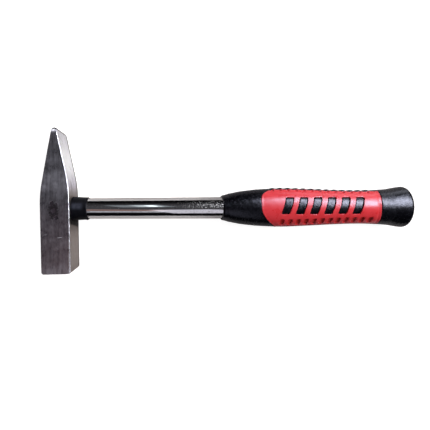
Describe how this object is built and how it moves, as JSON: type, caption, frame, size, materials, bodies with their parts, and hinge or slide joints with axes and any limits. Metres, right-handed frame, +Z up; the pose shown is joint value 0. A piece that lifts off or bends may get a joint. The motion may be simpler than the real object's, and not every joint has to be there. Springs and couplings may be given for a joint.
{
  "type": "cross pein hammer",
  "caption": "Cross pein hammer with a square forged head, a round chromed tube handle and a two-colour moulded grip.",
  "frame": {"origin": "on the head's lower cheek, on which the hammer lies, straight under the point where the handle axis crosses the middle of the head", "axes": "+X along the handle from the head to the end of the grip, +Y towards the pein, +Z up, away from the surface that the hammer lies on"},
  "size_m": [0.3325, 0.1307, 0.026],
  "materials": {
    "forged_steel": "ground forged steel under clear lacquer, dull cheeks and bright pein slope and edges",
    "chrome_tube": "bright chrome",
    "dowel_wood": "bare end grain",
    "wedge_steel": "turned mild steel",
    "collar_rubber": "satin black rubber",
    "plug_plastic": "moulded black plastic",
    "grip_black": "satin moulded black, slightly glossy",
    "grip_red": "satin moulded red"
  },
  "bodies": {
    "root": {"head": "forged_steel", "handle_tube": "chrome_tube", "eye_dowel": "dowel_wood", "ring_wedge": "wedge_steel", "neck_collar": "collar_rubber", "tube_end_plug": "plug_plastic", "grip_body": "grip_black", "grip_cover": "grip_red"}
  },
  "joints": []
}
